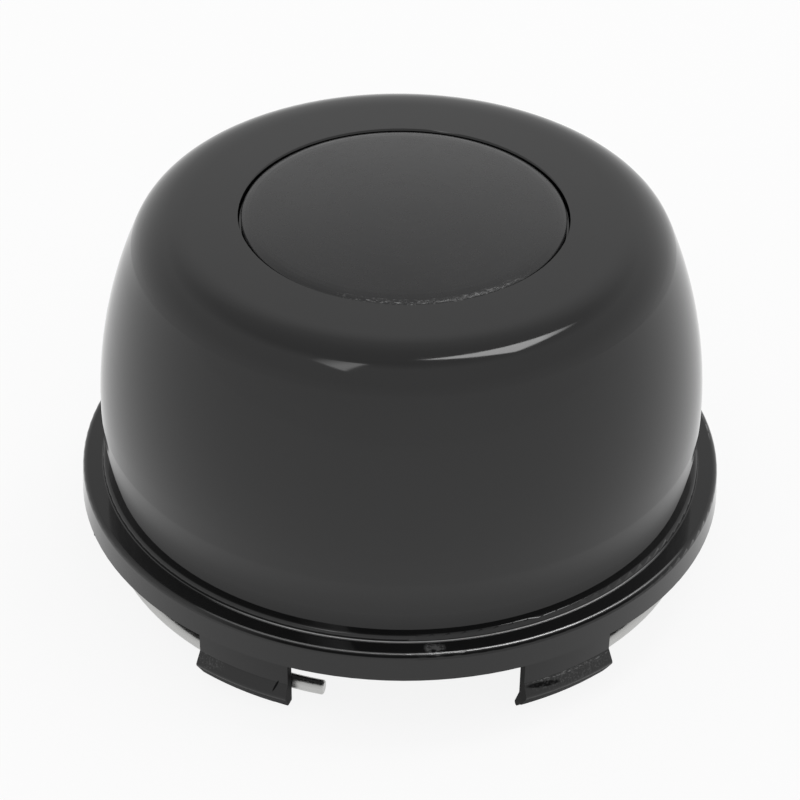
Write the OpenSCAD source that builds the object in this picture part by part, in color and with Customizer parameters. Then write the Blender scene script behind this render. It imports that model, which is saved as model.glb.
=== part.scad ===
// Push-in centre cap for a wheel with an open centre bore.
// The origin is on the cap's axis, in the plane where the flange meets the wheel.
// +Z points out of the wheel, through the crown. The front is -Y.
// Angles round the axis are counted from the front, positive towards +X.

/* [Wheel bore] */
// Diameter of the wheel bore that the cap pushes into
bore_d = 110; // [108:0.5:116]
// Gap left round the tabs inside the bore
bore_clearance = 0.1; // [0.05:0.05:0.3]

/* [Flange] */
// How far the flange reaches past the bore's edge
flange_seat = 2.25; // [1.5:0.05:5]
// Height of the flange, from the wheel face to its flat top
flange_h = 5; // [4:0.1:8]
// How far the rim draws in from the wheel face to the flat top
rim_draft = 0.3; // [0.1:0.05:0.5]
// Rounding of the flange's upper edge
flange_edge_r = 0.9; // [0.3:0.1:1.5]
// Thickness of the flange under its flat top
flange_top_t = 2.4; // [1.8:0.1:3]
// How far each tab's root is let into the flange's rim
tab_root_bite = 0.35; // [0.2:0.05:0.6]

/* [Step] */
// How far the raised step stands out round the dome's foot
step_ledge = 1.85; // [0.8:0.05:2.2]
// Height of the step above the flange
step_h = 1; // [0.9:0.1:2]
// Rounding of the step's upper edge
step_edge_r = 0.7; // [0.2:0.05:0.8]
// Fillet where the step meets the flange
step_foot_r = 0.2; // [0.1:0.05:0.8]

/* [Dome] */
// Height of the crown above the wheel face
dome_h = 54; // [46:0.5:64]
// How far the dome's widest part stays inside the flange's edge
dome_setback = 4.25; // [3:0.05:8]
// How far the wall draws in from the largest diameter to the step
dome_draw_in = 1.45; // [0.8:0.05:2.5]
// Height of the largest diameter above the wheel face
dome_wide_z = 16.6; // [12:0.1:22]
// Radius of the long curve of the wall, above the largest diameter
wall_curve_r = 80.5; // [70:0.5:100]
// Radius of the shoulder between wall and crown
shoulder_r = 8.2; // [6:0.1:12]
// Wall thickness of the moulding
wall = 2.4; // [1.8:0.1:3]

/* [Badge] */
// Diameter of the badge disc
badge_d = 55; // [45:0.5:60]
// Thickness of the badge disc close to its rim, inside the roll-off
badge_t = 1; // [0.8:0.1:1.6]
// Rise of the badge face from its rim to its middle
badge_rise = 1.2; // [0.2:0.1:2]
// How far the badge's face rolls off at its rim
badge_roll = 0.3; // [0.1:0.05:0.4]
// Bevel round the badge's upper rim
badge_bevel = 0.15; // [0.1:0.05:0.3]
// Gap round the badge inside its recess
badge_gap = 0.55; // [0.3:0.05:1]
// Thickness of the adhesive pad under the badge
adhesive_t = 0.5; // [0.3:0.1:1]
// How far the adhesive pad stays inside the badge's rim
adhesive_inset = 1; // [0.5:0.1:3]
// Radius in the corner round the recess floor
recess_corner_r = 0.3; // [0.1:0.05:0.45]

/* [Snap tabs] */
// Number of tabs round the flange
tab_count = 6; // [4:1:8]
// Width of a tab
tab_w = 17.2; // [12:0.2:22]
// Thickness of a tab
tab_t = 1.7; // [1.4:0.1:2.2]
// Length of a tab below the wheel face
tab_len = 11.9; // [11:0.1:14]
// How far the bead stands out of a tab
bead_h = 1.1; // [0.6:0.1:1.6]
// Distance from the wheel face to the crown of the bead
bead_z = 8.7; // [8:0.1:10]
// Distance from the wheel face to the start of the bead's ramp
ramp_z = 6.3; // [5:0.1:7]
// Rounding of the bead's crown
bead_r = 0.8; // [0.5:0.1:1]
// Rounding of the tab's lower end, seen from the side
tab_tip_r = 0.6; // [0.4:0.05:0.7]
// Rounding of the tab's two lower corners, seen from the front
tab_corner_r = 1; // [0.5:0.1:2]

/* [Hooks] */
// Width of the inward hook at one end of each tab
hook_w = 3.6; // [2.5:0.1:6]
// How far the hook reaches in from the tab's inner face
hook_reach = 1.5; // [1:0.1:2]
// How far the hook hangs below the tab
hook_drop = 1.6; // [1:0.1:2]
// Rounding of the hook's nose
hook_nose_r = 0.5; // [0.3:0.05:0.6]
// Gap between the wire and the hook's top
hook_clearance = 0.3; // [0.1:0.05:0.6]

/* [Retaining ring] */
// Diameter of the spring wire
wire_d = 2.5; // [2:0.1:3]
// Distance from the wheel face to the middle of the wire
wire_z = 8.05; // [7.5:0.05:8.5]
// Gap between the wire and the tabs' inner faces
wire_clearance = 0.1; // [0.05:0.05:0.3]
// Length of wire past the tab whose end shows in the front gap
wire_show = 5.25; // [2:0.05:8]
// Length of wire behind the tab on the front gap's other side
wire_tuck = 4.1; // [2:0.1:12]
// Chamfer round each cut end
wire_chamfer = 0.2; // [0.1:0.05:0.4]

/* [Stop ribs] */
// Thickness of the ribs that stop the wire from above
rib_t = 1.2; // [0.8:0.1:1.6]
// Distance between the two ribs of a tab
rib_pitch = 8; // [6:0.5:10]
// Gap between the ribs' lower ends and the wire
rib_clearance = 0.15; // [0.1:0.05:0.3]

/* [Hidden] */

$fn = 128;
// Facets on a full turn of the small rounds
round_fn = 32;
// Facets on the full circles that the wall's long curves and the shoulder belong to
curve_fn = 360;
shoulder_fn = 180;
// Steps from the middle to the rim of the badge's domed face, closer together near the rim
face_steps = 16;
// Power of the roll-off: the higher, the nearer to the rim it stays
roll_power = 36;
// Overlap that lets a cut or a joined body pass cleanly through a face
eps = 0.05;

// The tabs stand on the bore's circle less its clearance
tab_outer_r = bore_d / 2 - bore_clearance;
tab_inner_r = tab_outer_r - tab_t;
tab_angle = 2 * asin(tab_w / 2 / tab_outer_r);
tab_step = 360 / tab_count;
hook_angle = 2 * asin(hook_w / 2 / tab_outer_r);

flange_r = bore_d / 2 + flange_seat;
rim_inner_r = tab_outer_r - tab_root_bite;
ceiling_z = flange_h - flange_top_t;
step_z = flange_h + step_h;
dome_r = flange_r - dome_setback;
step_r = dome_r - dome_draw_in + step_ledge;
edge_centre = [flange_r - rim_draft - flange_edge_r, flange_h - flange_edge_r];

// Centres of the arcs that draw the dome's outline
foot_curve_r = (pow(dome_draw_in, 2) + pow(dome_wide_z - step_z, 2)) / (2 * dome_draw_in);
foot_centre = [dome_r - foot_curve_r, dome_wide_z];
wall_centre = [dome_r - wall_curve_r, dome_wide_z];
shoulder_z = dome_h - shoulder_r;
shoulder_x = wall_centre.x
    + sqrt(pow(wall_curve_r - shoulder_r, 2) - pow(shoulder_z - dome_wide_z, 2));
tangent_a = atan2(shoulder_z - wall_centre.y, shoulder_x - wall_centre.x);

recess_r = badge_d / 2 + badge_gap;
recess_depth = adhesive_t + badge_t;
recess_z = dome_h - recess_depth;

wire_r = wire_d / 2;
ring_r = tab_inner_r - wire_clearance - wire_r;
rib_end_z = -wire_z + wire_r + rib_clearance;
hook_z = wire_z + wire_r + hook_clearance;

// Angles of the two cut ends of the wire
gap_edge = (tab_step - tab_angle) / 2;
wire_end_a = -gap_edge + arc_angle(wire_show);
wire_end_b = gap_edge + arc_angle(wire_tuck);

// Angle that a length of the ring's wire takes up round the axis
function arc_angle(len) = len / ring_r * 180 / PI;

// Angle of a point on the circle round c, where a line from p touches it
function touch_angle(p, c, r, side) =
    atan2(p.y - c.y, p.x - c.x) + side * acos(r / norm(p - c));
// Angle on both circles where the line over their outer sides touches them
function belt_angle(c1, r1, c2, r2) =
    atan2(c2.y - c1.y, c2.x - c1.x) + acos((r1 - r2) / norm(c2 - c1));
function on_circle(c, r, a) = c + r * [cos(a), sin(a)];

// Turns its children from the front to the angle a round the axis
module at_angle(a) {
    rotate([0, 0, a - 90]) children();
}

// What lies between the axis and a circle's outer side, between two heights
module arc_slice(centre, r, z_low, z_high) {
    intersection() {
        translate(centre) circle(r = r, $fn = curve_fn);
        square_above(flange_r, z_low, z_high);
    }
    if (centre.x > 0) square_above(centre.x, z_low, z_high);
}

// Half-section of the dome, drawn inset by a wall thickness
module dome_half(inset, z_low) {
    wall_r = wall_curve_r - inset;
    bend_r = shoulder_r - inset;
    tangent_z = wall_centre.y + wall_r * sin(tangent_a);
    arc_slice(foot_centre, foot_curve_r - inset, z_low, dome_wide_z + eps);
    arc_slice(wall_centre, wall_r, dome_wide_z, tangent_z);
    square_above(shoulder_x, tangent_z - eps, dome_h - inset);
    intersection() {
        translate([shoulder_x, shoulder_z]) circle(r = bend_r, $fn = shoulder_fn);
        translate([shoulder_x - eps, tangent_z - eps]) square(shoulder_r + eps);
    }
}

// A rectangle from the axis out to r, between two heights
module square_above(r, z_low, z_high) {
    translate([0, z_low]) square([r, z_high - z_low]);
}

// Half-section of the flange and its step, with rounded upper edges
module flange_half() {
    rim_foot = [flange_r, 0];
    rim_a = touch_angle(rim_foot, edge_centre, flange_edge_r, 1);
    polygon([
        [0, 0],
        rim_foot,
        on_circle(edge_centre, flange_edge_r, rim_a),
        edge_centre,
        [edge_centre.x, flange_h],
        [0, flange_h]
    ]);
    translate(edge_centre) circle(r = flange_edge_r, $fn = round_fn);
    square_above(step_r, flange_h - eps, step_z - step_edge_r);
    square_above(step_r - step_edge_r, flange_h - eps, step_z);
    translate([step_r - step_edge_r, step_z - step_edge_r])
        circle(r = step_edge_r, $fn = round_fn);
    difference() {
        translate([step_r - eps, flange_h - eps]) square(step_foot_r + eps);
        translate([step_r + step_foot_r, flange_h + step_foot_r])
            circle(r = step_foot_r, $fn = round_fn);
    }
}

// Half-section of the hollow under the dome and the flange
module hollow_half() {
    difference() {
        dome_half(wall, ceiling_z - eps);
        square_above(recess_r + wall, recess_z - wall, dome_h);
    }
    square_above(rim_inner_r, -eps, ceiling_z);
}

// Half-section of the recess that takes the badge
module recess_half() {
    square_above(recess_r - recess_corner_r, recess_z, dome_h + eps);
    square_above(recess_r, recess_z + recess_corner_r, dome_h + eps);
    translate([recess_r - recess_corner_r, recess_z + recess_corner_r])
        circle(r = recess_corner_r, $fn = round_fn);
}

// Centres of the rounds on a tab's section
bead_centre = [tab_outer_r + bead_h - bead_r, -bead_z];
tip_centre = [tab_inner_r + tab_tip_r, -tab_len + tab_tip_r];
nose_centre = [tab_inner_r - hook_reach + hook_nose_r, -tab_len - hook_drop + hook_nose_r];

// Section of a tab: wall, ramp, bead and lead-in down to a round tip
module tab_section() {
    ramp_start = [tab_outer_r, -ramp_z];
    ramp_a = touch_angle(ramp_start, bead_centre, bead_r, -1);
    lead_a = belt_angle(tip_centre, tab_tip_r, bead_centre, bead_r) - 180;
    polygon([
        [tab_inner_r, ceiling_z + eps],
        [tab_outer_r, ceiling_z + eps],
        ramp_start,
        on_circle(bead_centre, bead_r, ramp_a),
        bead_centre,
        on_circle(bead_centre, bead_r, lead_a),
        on_circle(tip_centre, tab_tip_r, lead_a),
        tip_centre,
        [tab_inner_r, tip_centre.y]
    ]);
    translate(bead_centre) circle(r = bead_r, $fn = round_fn);
    translate(tip_centre) circle(r = tab_tip_r, $fn = round_fn);
}

// Section of a hook: the tab's end drawn inwards and down to a round nose
module hook_section() {
    hook_top = [tab_inner_r, -hook_z];
    top_a = touch_angle(hook_top, nose_centre, hook_nose_r, 1);
    lead_a = belt_angle(nose_centre, hook_nose_r, bead_centre, bead_r) - 180;
    polygon([
        hook_top,
        [tab_inner_r + tab_t / 2, -hook_z],
        bead_centre,
        on_circle(bead_centre, bead_r, lead_a),
        on_circle(nose_centre, hook_nose_r, lead_a),
        nose_centre,
        on_circle(nose_centre, hook_nose_r, top_a)
    ]);
    translate(nose_centre) circle(r = hook_nose_r, $fn = round_fn);
}

// What is cut from a tab's lower corner to round it
module corner_cut() {
    reach = tab_t + bead_h + 2 * hook_reach;
    translate([tab_inner_r - hook_reach - eps, 0, -tab_len])
        rotate([90, 0, 90]) linear_extrude(reach) difference() {
            translate([-eps, -eps]) square(tab_corner_r + eps);
            translate([tab_corner_r, tab_corner_r]) circle(r = tab_corner_r, $fn = round_fn);
        }
}

// One snap tab with its bead and its hook, centred on +X
module snap_tab() {
    difference() {
        rotate([0, 0, -tab_angle / 2])
            rotate_extrude(angle = tab_angle) tab_section();
        rotate([0, 0, tab_angle / 2]) mirror([0, 1, 0]) corner_cut();
    }
    rotate([0, 0, -tab_angle / 2])
        rotate_extrude(angle = hook_angle) hook_section();
}

// One rib that stiffens a tab's root and stops the wire from above
module stop_rib() {
    rotate([90, 0, 0]) translate([0, 0, -rib_t / 2]) linear_extrude(rib_t) polygon([
        [tab_inner_r + tab_t / 2, rib_end_z],
        [ring_r, rib_end_z],
        [ring_r - wire_r, rib_end_z + wire_r],
        [ring_r - wire_r, ceiling_z + eps],
        [tab_inner_r + tab_t / 2, ceiling_z + eps]
    ]);
}

// The one-piece moulding: dome, crown with its recess, flange, tabs, hooks and ribs
module cap_shell() {
    color([0.13, 0.13, 0.13]) {
        rotate_extrude() difference() {
            union() {
                dome_half(0, step_z - eps);
                flange_half();
            }
            hollow_half();
            recess_half();
        }
        for (i = [0 : tab_count - 1]) at_angle((i + 0.5) * tab_step) {
            snap_tab();
            for (side = [-1, 1]) translate([0, side * rib_pitch / 2, 0]) stop_rib();
        }
    }
}

// Height of the badge's face above its bevel, from the middle (0) to the rim (1)
function face_height(x) =
    badge_rise * (1 - pow(x, 2)) + badge_roll * (1 - pow(x, roll_power));

// Thin disc with a slightly domed face that rolls off to a bevelled rim
module badge_disc() {
    face_edge = badge_d / 2 - badge_bevel;
    rim_z = dome_h - badge_roll;
    color([0.2, 0.2, 0.2]) rotate_extrude() polygon(concat(
        [
            [0, recess_z + adhesive_t],
            [badge_d / 2, recess_z + adhesive_t],
            [badge_d / 2, rim_z - badge_bevel]
        ],
        [for (i = [face_steps : -1 : 0])
            let (x = sin(90 * i / face_steps)) [x * face_edge, rim_z + face_height(x)]]
    ));
}

// Foam pad that holds the badge in its recess
module badge_adhesive() {
    color([0.45, 0.45, 0.45]) translate([0, 0, recess_z])
        cylinder(h = adhesive_t, r = badge_d / 2 - adhesive_inset);
}

// Open ring of round spring wire, sprung out against the tabs' inner faces
module retaining_ring() {
    wrap = 360 - (wire_end_b - wire_end_a);
    color([0.72, 0.72, 0.7]) translate([0, 0, -wire_z]) at_angle(wire_end_b) difference() {
        rotate_extrude(angle = wrap) translate([ring_r, 0]) circle(r = wire_r, $fn = round_fn);
        translate([ring_r, 0, 0]) rotate([90, 0, 0]) end_chamfer_cut();
        rotate([0, 0, wrap]) translate([ring_r, 0, 0]) rotate([-90, 0, 0]) end_chamfer_cut();
    }
}

// What is cut from round a wire's end to chamfer it; the end faces +Z
module end_chamfer_cut() {
    difference() {
        translate([0, 0, -wire_chamfer - eps])
            cylinder(h = wire_chamfer + 2 * eps, r = wire_d, $fn = round_fn);
        translate([0, 0, -wire_chamfer - 2 * eps])
            cylinder(h = wire_chamfer + 4 * eps, r1 = wire_r + 2 * eps,
                r2 = wire_r - wire_chamfer - 2 * eps, $fn = round_fn);
    }
}

cap_shell();
badge_disc();
badge_adhesive();
retaining_ring();
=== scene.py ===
"""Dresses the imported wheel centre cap: camera, plain studio and procedural materials."""

import math

import bpy
from mathutils import Matrix, Vector


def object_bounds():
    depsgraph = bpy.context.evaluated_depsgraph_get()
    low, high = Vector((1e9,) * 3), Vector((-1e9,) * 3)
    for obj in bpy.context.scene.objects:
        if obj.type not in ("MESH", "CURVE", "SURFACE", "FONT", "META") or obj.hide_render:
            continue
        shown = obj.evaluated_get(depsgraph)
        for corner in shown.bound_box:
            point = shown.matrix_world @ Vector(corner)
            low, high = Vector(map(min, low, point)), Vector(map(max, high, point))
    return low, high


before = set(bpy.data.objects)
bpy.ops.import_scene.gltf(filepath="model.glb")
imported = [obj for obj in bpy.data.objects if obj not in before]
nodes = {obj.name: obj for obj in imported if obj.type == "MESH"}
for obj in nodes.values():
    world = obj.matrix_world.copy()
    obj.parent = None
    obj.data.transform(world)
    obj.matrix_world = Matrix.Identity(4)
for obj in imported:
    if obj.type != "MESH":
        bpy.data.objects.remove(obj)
cad_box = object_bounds()
scene = bpy.context.scene
MM = 0.001


# Camera: the photograph's own view, fitted to the cap's outline
VIEW_AZIMUTH = math.radians(-1.8)
CAMERA_AWAY = 348.5 * MM
CAMERA_UP = 270.2 * MM
AIM_SIDE = -0.196 * MM
AIM_UP = 14.68 * MM
CAMERA_ROLL = math.radians(0.925)
LENS_MM = 109.19
SENSOR_MM = 36.0


def round_axis(angle, side, away, up):
    """A point given by how far it lies to the right, towards the camera's side, and up."""
    right = Vector((math.cos(angle), math.sin(angle), 0.0))
    front = Vector((math.sin(angle), -math.cos(angle), 0.0))
    return right * side + front * away + Vector((0.0, 0.0, up))


def make_camera():
    data = bpy.data.cameras.new("camera")
    data.lens = LENS_MM
    data.sensor_width = SENSOR_MM
    data.clip_start = 0.01
    data.clip_end = 20.0
    cam = bpy.data.objects.new("camera", data)
    scene.collection.objects.link(cam)
    place = round_axis(VIEW_AZIMUTH, 0.0, CAMERA_AWAY, CAMERA_UP)
    aim = round_axis(VIEW_AZIMUTH, AIM_SIDE, 0.0, AIM_UP)
    look = (aim - place).normalized()
    right = look.cross(Vector((0.0, 0.0, 1.0))).normalized()
    up = right.cross(look)
    turned_right = right * math.cos(CAMERA_ROLL) + up * math.sin(CAMERA_ROLL)
    turned_up = up * math.cos(CAMERA_ROLL) - right * math.sin(CAMERA_ROLL)
    turn = Matrix((turned_right, turned_up, -look)).transposed()
    cam.matrix_world = Matrix.Translation(place) @ turn.to_4x4()
    scene.camera = cam


# Places on the cap, measured from the wheel's face and from the axis
FLANGE_TOP_Z = 5.0 * MM
STEP_TOP_Z = 6.0 * MM
CROWN_Z = 54.0 * MM
OUTER_WALL_R = 51.1 * MM
RECESS_R = 28.3 * MM
BADGE_RIM_R = 27.5 * MM
TAB_ROOT_Z = 0.0
BEAD_CREASE_Z = -6.4 * MM
LEAD_IN_Z = -9.1 * MM
TAB_R = 55.0 * MM
TAB_FACE_R = 54.1 * MM

# Small roundings that are only shaded: where each starts or ends, its slope at the far end and its power
FLARE_FOOT_Z = STEP_TOP_Z + 0.01 * MM
FLARE_TOP_Z = 17.0 * MM
FLARE_SLOPE = 1.33
FLARE_POWER = 2.0
LIP_Z = 53.35 * MM
LIP_SLOPE = 1.3
ROLL_START_R = 36.0 * MM
ROLL_END_R = 39.69 * MM
ROLL_LOW_Z = CROWN_Z - 0.3 * MM
ROLL_SLOPE = 0.129

# How far sideways a normal may lean on a turned face
SEAM_TURN = 0.1

# Lengths over which a look changes, and the share of a mark that has its full strength
ROOT_BLEND = 0.6 * MM
CREASE_BLEND = 0.1 * MM
LEAD_IN_BLEND = 0.3 * MM
CIRCLE_CORE = 0.6
MARK_CORE = 0.7

# Circles round the axis where the moulding's edges carry painted highlights (step foot, flange edge) and a
# matt parting line: radius, height, reach
STEP_FOOT = (53.55 * MM, FLANGE_TOP_Z, 0.22 * MM)
FLANGE_EDGE = (56.24 * MM, 4.97 * MM, 0.17 * MM)
PARTING_LINE = (56.66 * MM, 4.7 * MM, 0.28 * MM)

# Sides where the edge highlights and the rim's flecks are painted, as lamplight falls there: degrees from
# the front towards +X, and cosines where they start and are full
LIT_SIDE = (10.0, 0.66, 0.86)
LIT_RIM_SIDE = (10.0, 0.8, 0.94)

# Marks on the tabs and the flange: degrees, height or radius, half length, half width, how far it is turned
SMEAR = (24.6, -7.25 * MM, 3.6 * MM, 0.5 * MM, -6.4)
# A pale dashed line along the right tab's crease: painted highlight
CREASE_HIGHLIGHT = (30.5, -6.6 * MM, 9.5 * MM, 0.24 * MM, -0.9)
RIGHT_GRAIN = (30.5, -7.4 * MM, 9.0 * MM, 1.3 * MM, 0.0)
LEFT_GRAIN = (-37.0, -7.2 * MM, 4.0 * MM, 1.4 * MM, 0.0)
SCRATCH = (-23.1, -6.9 * MM, 1.25 * MM, 0.2 * MM, 68.0)
# The gate mark's pale swirls are partly a painted glint
GATE_GLINT_MARK = (4.6, 55.0 * MM, 1.9 * MM, 1.8 * MM, 0.0)

# Heights between which the gate mark and its painted glint lie
GATE_HEIGHTS = (FLANGE_TOP_Z - 0.4 * MM, FLANGE_TOP_Z + 0.3 * MM)


# Node helpers
def new_material(name):
    mat = bpy.data.materials.new(name)
    mat.use_nodes = True
    tree = mat.node_tree
    return mat, tree, tree.nodes["Principled BSDF"]


def add(tree, kind, **settings):
    node = tree.nodes.new(kind)
    for key, value in settings.items():
        setattr(node, key, value)
    return node


def noise(tree, coords, scale, detail=3.0, rough=0.5, stretch=(1.0, 1.0, 1.0)):
    mapping = add(tree, "ShaderNodeMapping")
    mapping.inputs["Scale"].default_value = stretch
    tree.links.new(coords, mapping.inputs["Vector"])
    tex = add(tree, "ShaderNodeTexNoise")
    tex.inputs["Scale"].default_value = scale
    tex.inputs["Detail"].default_value = detail
    tex.inputs["Roughness"].default_value = rough
    tree.links.new(mapping.outputs["Vector"], tex.inputs["Vector"])
    return tex.outputs["Fac"]


def spread(tree, value, low_in, high_in, low_out, high_out):
    """Maps a value from one range to another, held at both ends."""
    node = add(tree, "ShaderNodeMapRange")
    node.inputs["From Min"].default_value = low_in
    node.inputs["From Max"].default_value = high_in
    node.inputs["To Min"].default_value = low_out
    node.inputs["To Max"].default_value = high_out
    tree.links.new(value, node.inputs["Value"])
    return node.outputs["Result"]


def combine(tree, operation, first, second):
    node = add(tree, "ShaderNodeMath", operation=operation)
    for slot, value in zip(node.inputs, (first, second)):
        if isinstance(value, (int, float)):
            slot.default_value = value
        else:
            tree.links.new(value, slot)
    return node.outputs["Value"]


def times(tree, first, second):
    return combine(tree, "MULTIPLY", first, second)


def larger(tree, first, second):
    return combine(tree, "MAXIMUM", first, second)


def above(tree, value, edge):
    """1 where the value is above the edge, else 0."""
    return combine(tree, "GREATER_THAN", value, edge)


def below(tree, value, edge):
    """1 where the value is below the edge, else 0."""
    return combine(tree, "LESS_THAN", value, edge)


def flat_length(tree, first, second):
    """The length of a flat vector."""
    squares = combine(tree, "ADD", times(tree, first, first), times(tree, second, second))
    return combine(tree, "SQRT", squares, 0.0)


def bump(tree, height, distance, strength=1.0, normal=None):
    node = add(tree, "ShaderNodeBump")
    node.inputs["Strength"].default_value = strength
    node.inputs["Distance"].default_value = distance
    tree.links.new(height, node.inputs["Height"])
    if normal is not None:
        tree.links.new(normal, node.inputs["Normal"])
    return node.outputs["Normal"]


def mix_colour(tree, factor, first, second):
    node = add(tree, "ShaderNodeMix", data_type="RGBA")
    tree.links.new(factor, node.inputs["Factor"])
    for name, value in (("A", first), ("B", second)):
        slot = [s for s in node.inputs if s.name == name and s.type == "RGBA"][0]
        if isinstance(value, tuple):
            slot.default_value = (*value, 1.0)
        else:
            tree.links.new(value, slot)
    return [s for s in node.outputs if s.type == "RGBA"][0]


def mix_normal(tree, factor, first, second):
    node = add(tree, "ShaderNodeMix", data_type="VECTOR")
    tree.links.new(factor, node.inputs["Factor"])
    for name, value in (("A", first), ("B", second)):
        tree.links.new(value, [s for s in node.inputs if s.name == name and s.type == "VECTOR"][0])
    return [s for s in node.outputs if s.type == "VECTOR"][0]


def vector_math(tree, operation, first, second=None):
    node = add(tree, "ShaderNodeVectorMath", operation=operation)
    tree.links.new(first, node.inputs[0])
    if second is not None:
        tree.links.new(second, node.inputs["Scale"] if operation == "SCALE" else node.inputs[1])
    return node.outputs["Value"] if operation == "DOT_PRODUCT" else node.outputs["Vector"]


def object_coords(tree):
    return add(tree, "ShaderNodeTexCoord").outputs["Object"]


def split(tree, vector):
    """The vector's X, Y and Z."""
    node = add(tree, "ShaderNodeSeparateXYZ")
    tree.links.new(vector, node.inputs["Vector"])
    return node.outputs["X"], node.outputs["Y"], node.outputs["Z"]


def flat_coords(tree, along, across):
    node = add(tree, "ShaderNodeCombineXYZ")
    tree.links.new(along, node.inputs["X"])
    tree.links.new(across, node.inputs["Y"])
    return node.outputs["Vector"]


# Places round the cap's axis
def axis_distance(tree, coords):
    """How far a point lies from the cap's axis."""
    x, y, _ = split(tree, coords)
    return flat_length(tree, x, y)


def arc_place(tree, coords, radius):
    """How far round the axis a point lies from the front, as a length on a circle."""
    x, y, _ = split(tree, coords)
    return times(tree, combine(tree, "ARCTAN2", x, times(tree, y, -1.0)), radius)


def on_side(tree, coords, distance, side):
    """1 on one side of the cap, falling to 0 round the axis."""
    angle, start, full = side
    x, y, _ = split(tree, coords)
    turn = math.radians(angle)
    towards = combine(tree, "ADD", times(tree, x, math.sin(turn)), times(tree, y, -math.cos(turn)))
    return spread(tree, combine(tree, "DIVIDE", towards, distance), start, full, 0.0, 1.0)


def near_circle(tree, distance, height, circle):
    """1 on a circle round the axis, falling to 0 at its reach."""
    radius, level, reach = circle
    off = combine(tree, "SUBTRACT", distance, radius)
    up = combine(tree, "SUBTRACT", height, level)
    return spread(tree, flat_length(tree, off, up), CIRCLE_CORE * reach, reach, 1.0, 0.0)


def mark(tree, along, across, place):
    """1 in the middle of an elongated mark, falling to 0 at its rim."""
    angle, level, half_length, half_width, turn = place
    off = combine(tree, "SUBTRACT", along, math.radians(angle) * TAB_R)
    up = combine(tree, "SUBTRACT", across, level)
    lean = math.cos(math.radians(turn))
    rise = math.sin(math.radians(turn))
    wide = combine(tree, "ADD", times(tree, off, lean / half_length), times(tree, up, rise / half_length))
    high = combine(tree, "SUBTRACT", times(tree, up, lean / half_width), times(tree, off, rise / half_width))
    return spread(tree, flat_length(tree, wide, high), MARK_CORE, 1.0, 1.0, 0.0)


def sideways(tree):
    """1 where the surface faces along the circle round the axis, as a tab's end faces do."""
    texture = add(tree, "ShaderNodeTexCoord")
    x, y, _ = split(tree, texture.outputs["Object"])
    normal_x, normal_y, _ = split(tree, texture.outputs["Normal"])
    turned = combine(tree, "SUBTRACT", times(tree, x, normal_y), times(tree, y, normal_x))
    along = combine(tree, "DIVIDE", turned, axis_distance(tree, texture.outputs["Object"]))
    return combine(tree, "ABSOLUTE", along, 0.0)


# Shading normals
def radial(tree, coords):
    """The unit vector that points straight out from the axis."""
    x, y, _ = split(tree, coords)
    return vector_math(tree, "NORMALIZE", flat_coords(tree, x, y))


def leaning(tree, coords, outwards, upwards):
    """The unit vector made of a share that points out from the axis and a share that points up."""
    up = add(tree, "ShaderNodeCombineXYZ")
    if isinstance(upwards, float):
        up.inputs["Z"].default_value = upwards
    else:
        tree.links.new(upwards, up.inputs["Z"])
    out = vector_math(tree, "SCALE", radial(tree, coords), outwards)
    return vector_math(tree, "NORMALIZE", vector_math(tree, "ADD", out, up.outputs["Vector"]))


def turned_normal(tree, coords):
    """The surface's own normal, set straight out from the axis on turned faces, so that no seam shows."""
    own = add(tree, "ShaderNodeNewGeometry").outputs["Normal"]
    outwards = vector_math(tree, "DOT_PRODUCT", own, radial(tree, coords))
    straight = leaning(tree, coords, outwards, split(tree, own)[2])
    return mix_normal(tree, below(tree, sideways(tree), SEAM_TURN), own, straight)


def flared_foot(tree, height, normal):
    """Shades the wall's foot as if it flared out a little, so that it shows the floor and not the flange."""
    reach = FLARE_TOP_Z - STEP_TOP_Z
    held = larger(tree, combine(tree, "SUBTRACT", FLARE_TOP_Z, height), 0.0)
    share = combine(tree, "DIVIDE", held, reach)
    curve = combine(tree, "POWER", share, FLARE_POWER + 1)
    return bump(tree, times(tree, curve, FLARE_SLOPE * reach / (FLARE_POWER + 1)), 1.0, 1.0, normal)


def on_roll(tree, distance, height):
    """1 on the crown's outer edge, where it rolls into the shoulder."""
    ring = times(tree, above(tree, distance, ROLL_START_R), below(tree, distance, ROLL_END_R))
    return times(tree, ring, above(tree, height, ROLL_LOW_Z))


def crown_roll(tree, coords, distance):
    """Shades the crown's outer edge as if it rolled gently into the shoulder."""
    share = spread(tree, distance, ROLL_START_R, ROLL_END_R, 0.0, 1.0)
    slope = times(tree, times(tree, share, share), ROLL_SLOPE)
    return leaning(tree, coords, slope, 1.0)


def rounded_lip(tree, height, normal):
    """Shades the top of the recess's wall as if its lip were rounded."""
    rise = combine(tree, "SUBTRACT", height, LIP_Z)
    drop = times(tree, times(tree, rise, rise), -LIP_SLOPE / (2 * (CROWN_Z - LIP_Z)))
    return bump(tree, drop, 1.0, 1.0, normal)


# Moulded plastic: its noises give scale, detail, roughness and stretch, and its ranges what goes in and out
PLASTIC_IOR = 1.5
PLASTIC_DARK = (0.0035, 0.0035, 0.0036)
PLASTIC_PALE = (0.0055, 0.0055, 0.0057)
# Pale colour of the tabs' scuffs and of the painted highlight along a crease
SCUFF_AND_HIGHLIGHT_COLOUR = (0.12, 0.12, 0.12)
# Pale colour of the gate mark's swirls, which also paints a glint
GATE_GLINT_COLOUR = (0.08, 0.08, 0.08)
TAB_END_COLOUR = (0.012, 0.012, 0.012)
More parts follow.
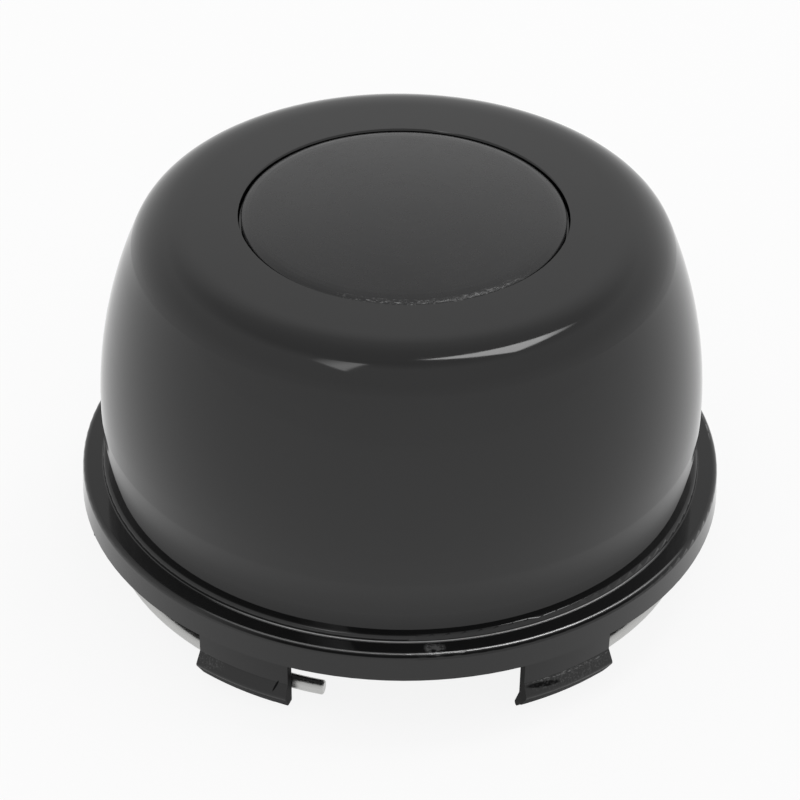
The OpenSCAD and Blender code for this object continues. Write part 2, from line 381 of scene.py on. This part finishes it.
# Pale colour, metallic sheen and a higher specular level paint the lamps' highlights along the flange's
# edges
EDGE_HIGHLIGHT_COLOUR = (0.3, 0.3, 0.3)
MATT_ROUGH = 0.5
HIGHLIGHT_ROUGH = 0.24
EDGE_HIGHLIGHT_SHEEN = 0.8
EDGE_HIGHLIGHT_LEVEL = 0.5
WALL_LEVEL = 0.5
TAB_LEVEL = 0.36
RAMP_LEVEL = 0.08
MATT_LEVEL = 0.1
CLOUD_NOISE = (60.0, 4.0)
GLOSS_NOISE = (240.0, 5.0)
GLOSS_RANGE = (0.3, 0.7, 0.06, 0.1)
CREASE_HIGHLIGHT_NOISE = (1400.0, 2.0, 0.6, (1.0, 2.5, 1.0))
CREASE_HIGHLIGHT_RANGE = (0.5, 0.6, 0.0, 1.0)
GRAIN_NOISE = (2600.0, 2.0, 0.6)
GRAIN_RANGE = (0.5, 0.68, 0.0, 0.35)
SWIRL_NOISE = (900.0, 2.0, 0.6)
SWIRL_RANGE = (0.42, 0.6, 0.0, 1.0)
END_FACE_RANGE = (0.75, 0.85, 0.0, 1.0)
WAVE_NOISE = (180.0, 2.0)
WAVE_HEIGHT = 0.01 * MM
WAVE_STRENGTH = 0.4


def tab_ends(tree, height):
    """1 on the tabs' end faces."""
    faces = spread(tree, sideways(tree), *END_FACE_RANGE)
    return times(tree, faces, spread(tree, height, TAB_ROOT_Z - MM, TAB_ROOT_Z, 1.0, 0.0))


def tab_marks(tree, coords, distance, height):
    """Two masks for the tabs' outer faces: pale scuffs with a painted highlight dashed along the right tab's
    crease, and matt smears.
    """
    along = arc_place(tree, coords, TAB_R)
    on_tabs = times(tree, above(tree, distance, TAB_FACE_R), below(tree, height, TAB_ROOT_Z))
    # Pale dashes along the crease paint its highlight
    dots = spread(tree, noise(tree, flat_coords(tree, along, height), *CREASE_HIGHLIGHT_NOISE), *CREASE_HIGHLIGHT_RANGE)
    crease_highlight = times(tree, mark(tree, along, height, CREASE_HIGHLIGHT), dots)
    grain = spread(tree, noise(tree, coords, *GRAIN_NOISE), *GRAIN_RANGE)
    grained = larger(tree, mark(tree, along, height, RIGHT_GRAIN), mark(tree, along, height, LEFT_GRAIN))
    scuffs_and_highlight = larger(tree, crease_highlight, times(tree, grained, grain))
    smears = larger(tree, mark(tree, along, height, SMEAR), mark(tree, along, height, SCRATCH))
    return times(tree, scuffs_and_highlight, on_tabs), times(tree, smears, on_tabs)


def gate_mark_glint(tree, coords, distance, height):
    """1 in the swirls that the mould's gate left on the flange's top; they are painted pale as a glint."""
    place = mark(tree, arc_place(tree, coords, TAB_R), distance, GATE_GLINT_MARK)
    bottom, top = GATE_HEIGHTS
    on_top = times(tree, above(tree, height, bottom), below(tree, height, top))
    swirl = spread(tree, noise(tree, coords, *SWIRL_NOISE), *SWIRL_RANGE)
    return times(tree, times(tree, place, on_top), swirl)


def plastic_level(tree, height, matt, edge_highlight):
    """How strongly the plastic mirrors: less on the tabs and where it is matt, more where edge highlights
    are painted.
    """
    on_tab = spread(tree, height, TAB_ROOT_Z - ROOT_BLEND, TAB_ROOT_Z, TAB_LEVEL, WALL_LEVEL)
    crease = (BEAD_CREASE_Z - CREASE_BLEND, BEAD_CREASE_Z + CREASE_BLEND)
    on_ramp = spread(tree, height, *crease, RAMP_LEVEL, 0.0)
    shown = spread(tree, matt, 0.0, 1.0, 1.0, MATT_LEVEL)
    level = times(tree, combine(tree, "ADD", on_tab, on_ramp), shown)
    return combine(tree, "ADD", level, times(tree, edge_highlight, EDGE_HIGHLIGHT_LEVEL))


def plastic_normal(tree, coords, distance, height):
    """A faint waviness, with the wall's foot, the crown's edge and the recess's lip shaded round."""
    turned = turned_normal(tree, coords)
    waved = bump(tree, noise(tree, coords, *WAVE_NOISE), WAVE_HEIGHT, WAVE_STRENGTH, turned)
    on_wall = times(tree, above(tree, height, FLARE_FOOT_Z), above(tree, distance, OUTER_WALL_R))
    normal = mix_normal(tree, on_wall, waved, flared_foot(tree, height, waved))
    normal = mix_normal(tree, on_roll(tree, distance, height), normal, crown_roll(tree, coords, distance))
    in_recess = times(tree, above(tree, height, LIP_Z), below(tree, distance, RECESS_R))
    return mix_normal(tree, in_recess, normal, rounded_lip(tree, height, turned))


def moulded_plastic():
    """Glossy black moulding with matt tab ends, painted highlights along its edges, a gate mark with a
    painted glint, and scuffed tabs with a painted highlight along a crease.
    """
    mat, tree, skin = new_material("gloss_black_plastic")
    coords = object_coords(tree)
    height = split(tree, coords)[2]
    distance = axis_distance(tree, coords)
    ends = tab_ends(tree, height)
    scuffs_and_highlight, smears = tab_marks(tree, coords, distance, height)
    gate_glint = gate_mark_glint(tree, coords, distance, height)
    lit_side = on_side(tree, coords, distance, LIT_SIDE)
    edges = larger(tree, near_circle(tree, distance, height, STEP_FOOT),
                   near_circle(tree, distance, height, FLANGE_EDGE))
    # Painted highlights along the step's foot and the flange's edge, on the lit side only
    edge_highlight = times(tree, lit_side, edges)
    parting = times(tree, lit_side, near_circle(tree, distance, height, PARTING_LINE))
    lead_in = spread(tree, height, LEAD_IN_Z, LEAD_IN_Z + LEAD_IN_BLEND, 1.0, 0.0)
    matt = larger(tree, larger(tree, ends, smears), larger(tree, parting, lead_in))

    colour = mix_colour(tree, noise(tree, coords, *CLOUD_NOISE), PLASTIC_DARK, PLASTIC_PALE)
    colour = mix_colour(tree, scuffs_and_highlight, colour, SCUFF_AND_HIGHLIGHT_COLOUR)
    colour = mix_colour(tree, gate_glint, colour, GATE_GLINT_COLOUR)
    colour = mix_colour(tree, ends, colour, TAB_END_COLOUR)
    colour = mix_colour(tree, edge_highlight, colour, EDGE_HIGHLIGHT_COLOUR)
    tree.links.new(colour, skin.inputs["Base Color"])

    gloss = spread(tree, noise(tree, coords, *GLOSS_NOISE), *GLOSS_RANGE)
    dull = larger(tree, times(tree, matt, MATT_ROUGH),
                  times(tree, larger(tree, edge_highlight, gate_glint), HIGHLIGHT_ROUGH))
    tree.links.new(combine(tree, "ADD", gloss, dull), skin.inputs["Roughness"])
    tree.links.new(plastic_level(tree, height, matt, edge_highlight), skin.inputs["Specular IOR Level"])
    tree.links.new(times(tree, edge_highlight, EDGE_HIGHLIGHT_SHEEN), skin.inputs["Metallic"])
    tree.links.new(plastic_normal(tree, coords, distance, height), skin.inputs["Normal"])
    skin.inputs["IOR"].default_value = PLASTIC_IOR
    return mat


# Badge: its satin lacquer and the pale flecks along its rim, which are chips and a painted highlight
LACQUER_IOR = 1.5
LACQUER_DARK = (0.010, 0.010, 0.0105)
LACQUER_PALE = (0.016, 0.016, 0.0165)
# Pale flecks on the rim's front only: chips, and a painted highlight
FLECK_AND_HIGHLIGHT_COLOUR = (0.2, 0.2, 0.2)
LACQUER_CLOUDS = (120.0, 4.0)
SATIN_NOISE = (500.0, 5.0)
SATIN_RANGE = (0.3, 0.7, 0.22, 0.3)
RIM_RANGE = (BADGE_RIM_R - 1.2 * MM, BADGE_RIM_R - 0.5 * MM, 0.0, 1.0)
FLECK_NOISE = (1000.0, 3.0, 0.7, (1.0, 3.0, 1.0))
FLECK_RANGE = (0.54, 0.66, 0.0, 1.0)
ROUGH_CUT_NOISE = (1200.0, 3.0, 0.7, (1.0, 2.5, 1.0))
ROUGH_CUT_HEIGHT = 0.12 * MM
ROUGH_CUT_STRENGTH = 0.8


def lacquered_disc():
    """Satin black lacquer with pale flecks along the front of its rim: chips, and a painted highlight where
    the rim catches the light.
    """
    mat, tree, skin = new_material("satin_black_badge")
    coords = object_coords(tree)
    distance = axis_distance(tree, coords)
    lit_rim = times(tree, spread(tree, distance, *RIM_RANGE), on_side(tree, coords, distance, LIT_RIM_SIDE))
    rim_coords = flat_coords(tree, arc_place(tree, coords, BADGE_RIM_R), distance)
    flecks = spread(tree, noise(tree, rim_coords, *FLECK_NOISE), *FLECK_RANGE)
    colour = mix_colour(tree, noise(tree, coords, *LACQUER_CLOUDS), LACQUER_DARK, LACQUER_PALE)
    colour = mix_colour(tree, times(tree, lit_rim, flecks), colour, FLECK_AND_HIGHLIGHT_COLOUR)
    tree.links.new(colour, skin.inputs["Base Color"])
    satin = spread(tree, noise(tree, coords, *SATIN_NOISE), *SATIN_RANGE)
    tree.links.new(satin, skin.inputs["Roughness"])
    rough_cut = times(tree, lit_rim, noise(tree, rim_coords, *ROUGH_CUT_NOISE))
    normal = bump(tree, rough_cut, ROUGH_CUT_HEIGHT, ROUGH_CUT_STRENGTH, turned_normal(tree, coords))
    tree.links.new(normal, skin.inputs["Normal"])
    skin.inputs["IOR"].default_value = LACQUER_IOR
    return mat


# Foam tape: its cells and their colours
FOAM_CELLS = 4000.0
FOAM_PALE = (0.42, 0.42, 0.41)
FOAM_DARK = (0.24, 0.24, 0.235)
FOAM_ROUGH = 0.95
CELL_DEPTH = 0.1 * MM
CELL_STRENGTH = 0.6


def foam_tape():
    """Grey closed-cell foam with open cells cut at its edge."""
    mat, tree, skin = new_material("grey_foam_tape")
    cells = add(tree, "ShaderNodeTexVoronoi")
    cells.inputs["Scale"].default_value = FOAM_CELLS
    tree.links.new(object_coords(tree), cells.inputs["Vector"])
    depth = cells.outputs["Distance"]
    tree.links.new(mix_colour(tree, depth, FOAM_PALE, FOAM_DARK), skin.inputs["Base Color"])
    tree.links.new(bump(tree, depth, CELL_DEPTH, CELL_STRENGTH), skin.inputs["Normal"])
    skin.inputs["Roughness"].default_value = FOAM_ROUGH
    return mat


# Spring steel: colours, the drawn lines' noise, its roughness and their height
STEEL_DARK = (0.42, 0.42, 0.41)
STEEL_PALE = (0.56, 0.56, 0.55)
DRAWN_LINES = (900.0, 4.0, 0.6, (1.0, 1.0, 6.0))
STEEL_RANGE = (0.3, 0.7, 0.22, 0.4)
LINE_HEIGHT = 0.02 * MM
LINE_STRENGTH = 0.5


def spring_steel():
    """Bright drawn steel wire with fine lines along its length."""
    mat, tree, skin = new_material("drawn_spring_steel")
    lines = noise(tree, object_coords(tree), *DRAWN_LINES)
    tree.links.new(mix_colour(tree, lines, STEEL_DARK, STEEL_PALE), skin.inputs["Base Color"])
    skin.inputs["Metallic"].default_value = 1.0
    tree.links.new(spread(tree, lines, *STEEL_RANGE), skin.inputs["Roughness"])
    tree.links.new(bump(tree, lines, LINE_HEIGHT, LINE_STRENGTH), skin.inputs["Normal"])
    return mat


def dress(node, material):
    mesh = nodes[node].data
    mesh.materials.clear()
    mesh.materials.append(material)


# Studio: pale walls, a white floor and two soft lamps overhead
FLOOR_SIZE = 6.0
SHADE_SEEN = 0.12
SHADE_MIRRORED = 0.1
LAMP_AWAY = 1.05
RIGHT_LAMP = {
    "azimuth": 108.5, "elevation": 69.7, "turn": 0, "width": 0.5, "length": 0.7, "power": 6.8,
    "corners": ((0.024, 0.31), (-0.152, -0.039), (0.238, -0.273)), "fade": (0.0, 1.0, -0.25, -0.12)}
LEFT_LAMP = {
    "azimuth": -45.5, "elevation": 65, "turn": 25, "width": 0.32, "length": 0.42, "power": 0.97,
    "corners": ((0.127, 0.18), (-0.19, 0.126), (0.07, -0.2)), "fade": (1.0, -0.35, -0.13, 0.03)}
LAMP_EDGE = 0.014
HORIZON_LIGHT = 0.94
CEILING_LIGHT = 0.82
WALL_HEIGHTS = (0.05, 0.5)
BACKDROP_SEEN = 0.975
BACK_SHADE = 0.24
BACK_ELEVATION = math.radians(70)
BACK_REACH = (0.77, 0.9)
FLOOR_COLOUR = (0.88, 0.88, 0.88, 1.0)
WHITE = (1.0, 1.0, 1.0, 1.0)


def make_floor(height):
    """A white floor that takes the object's shadow; from below it is clear."""
    mesh = bpy.data.meshes.new("floor")
    half = FLOOR_SIZE / 2
    corners = [(x * half, y * half, height) for x, y in ((-1, -1), (1, -1), (1, 1), (-1, 1))]
    mesh.from_pydata(corners, [], [(0, 1, 2, 3)])
    floor = bpy.data.objects.new("floor", mesh)
    scene.collection.objects.link(floor)
    mat, tree, skin = new_material("pale_floor")
    skin.inputs["Base Color"].default_value = FLOOR_COLOUR
    skin.inputs["Roughness"].default_value = 1.0
    skin.inputs["Specular IOR Level"].default_value = 0.0
    white = add(tree, "ShaderNodeEmission")
    white.inputs["Color"].default_value = WHITE
    white.inputs["Strength"].default_value = 1.0
    path = add(tree, "ShaderNodeLightPath")
    through = larger(tree, path.outputs["Is Camera Ray"], path.outputs["Is Transmission Ray"])
    seen = times(tree, through, 1.0 - SHADE_SEEN)
    mirrored = times(tree, path.outputs["Is Glossy Ray"], 1.0 - SHADE_MIRRORED)
    shown = add(tree, "ShaderNodeMixShader")
    tree.links.new(larger(tree, seen, mirrored), shown.inputs["Fac"])
    tree.links.new(skin.outputs["BSDF"], shown.inputs[1])
    tree.links.new(white.outputs["Emission"], shown.inputs[2])
    clear = add(tree, "ShaderNodeBsdfTransparent")
    side = add(tree, "ShaderNodeNewGeometry")
    choose = add(tree, "ShaderNodeMixShader")
    tree.links.new(side.outputs["Backfacing"], choose.inputs["Fac"])
    tree.links.new(shown.outputs["Shader"], choose.inputs[1])
    tree.links.new(clear.outputs["BSDF"], choose.inputs[2])
    tree.links.new(choose.outputs["Shader"], tree.nodes["Material Output"].inputs["Surface"])
    mesh.materials.append(mat)


def make_lamp(name, azimuth, elevation, turn, width, length, power, corners, fade):
    """A panel that faces the cap; its length points to the zenith, then it is turned in its own plane.

    Flags cut its light down to a triangle. fade gives a direction in its plane, and where along it the light
    starts and reaches its full strength.
    """
    data = bpy.data.lights.new(name, "AREA")
    data.shape = "RECTANGLE"
    data.size = width
    data.size_y = length
    data.energy = power
    lamp = bpy.data.objects.new(name, data)
    scene.collection.objects.link(lamp)
    rise = math.radians(elevation)
    away = LAMP_AWAY * math.cos(rise)
    place = round_axis(math.radians(azimuth), 0.0, away, LAMP_AWAY * math.sin(rise))
    facing = place.to_track_quat("Z", "Y").to_matrix() @ Matrix.Rotation(math.radians(turn), 3, "Z")
    lamp.matrix_world = Matrix.Translation(place) @ facing.to_4x4()
    data.use_nodes = True
    tree = data.node_tree
    spot = add(tree, "ShaderNodeNewGeometry").outputs["Position"]

    def inside(direction, start, full):
        """0 to 1 along a direction in the lamp's plane."""
        axis = facing @ Vector((*direction, 0.0))
        dot = add(tree, "ShaderNodeVectorMath", operation="DOT_PRODUCT")
        tree.links.new(spot, dot.inputs[0])
        dot.inputs[1].default_value = axis
        off = combine(tree, "SUBTRACT", dot.outputs["Value"], axis.dot(place))
        return spread(tree, off, start, full, 0.0, 1.0)

    light = inside(fade[:2], *fade[2:])
    middle = sum((Vector(corner) for corner in corners), Vector((0.0, 0.0))) / len(corners)
    for first, second in zip(corners, corners[1:] + corners[:1]):
        side = Vector(second) - Vector(first)
        inward = Vector((-side.y, side.x)).normalized()
        if inward.dot(middle - Vector(first)) < 0:
            inward.negate()
        edge = inward.dot(Vector(first))
        light = times(tree, light, inside(inward, edge - LAMP_EDGE / 2, edge + LAMP_EDGE / 2))
    tree.links.new(light, tree.nodes["Emission"].inputs["Strength"])


def make_world():
    """Pale walls, darker overhead and behind; the camera sees them as bright as the floor's far end."""
    world = bpy.data.worlds.new("studio")
    scene.world = world
    world.use_nodes = True
    tree = world.node_tree
    way = add(tree, "ShaderNodeTexCoord").outputs["Generated"]
    walls = spread(tree, split(tree, way)[2], *WALL_HEIGHTS, HORIZON_LIGHT, CEILING_LIGHT)
    towards = add(tree, "ShaderNodeVectorMath", operation="DOT_PRODUCT")
    tree.links.new(way, towards.inputs[0])
    towards.inputs[1].default_value = (0.0, math.cos(BACK_ELEVATION), math.sin(BACK_ELEVATION))
    shade = spread(tree, towards.outputs["Value"], *BACK_REACH, 0.0, BACK_SHADE)
    straight = times(tree, add(tree, "ShaderNodeLightPath").outputs["Is Camera Ray"], BACKDROP_SEEN)
    light = larger(tree, combine(tree, "SUBTRACT", walls, shade), straight)
    tree.links.new(light, tree.nodes["Background"].inputs["Strength"])
    tree.nodes["Background"].inputs["Color"].default_value = WHITE


make_camera()
dress("cap_shell", moulded_plastic())
dress("badge_disc", lacquered_disc())
dress("badge_adhesive", foam_tape())
dress("retaining_ring", spring_steel())
make_floor(cad_box[0].z)
make_lamp("right_lamp", **RIGHT_LAMP)
make_lamp("left_lamp", **LEFT_LAMP)
make_world()
scene.view_settings.view_transform = "Standard"
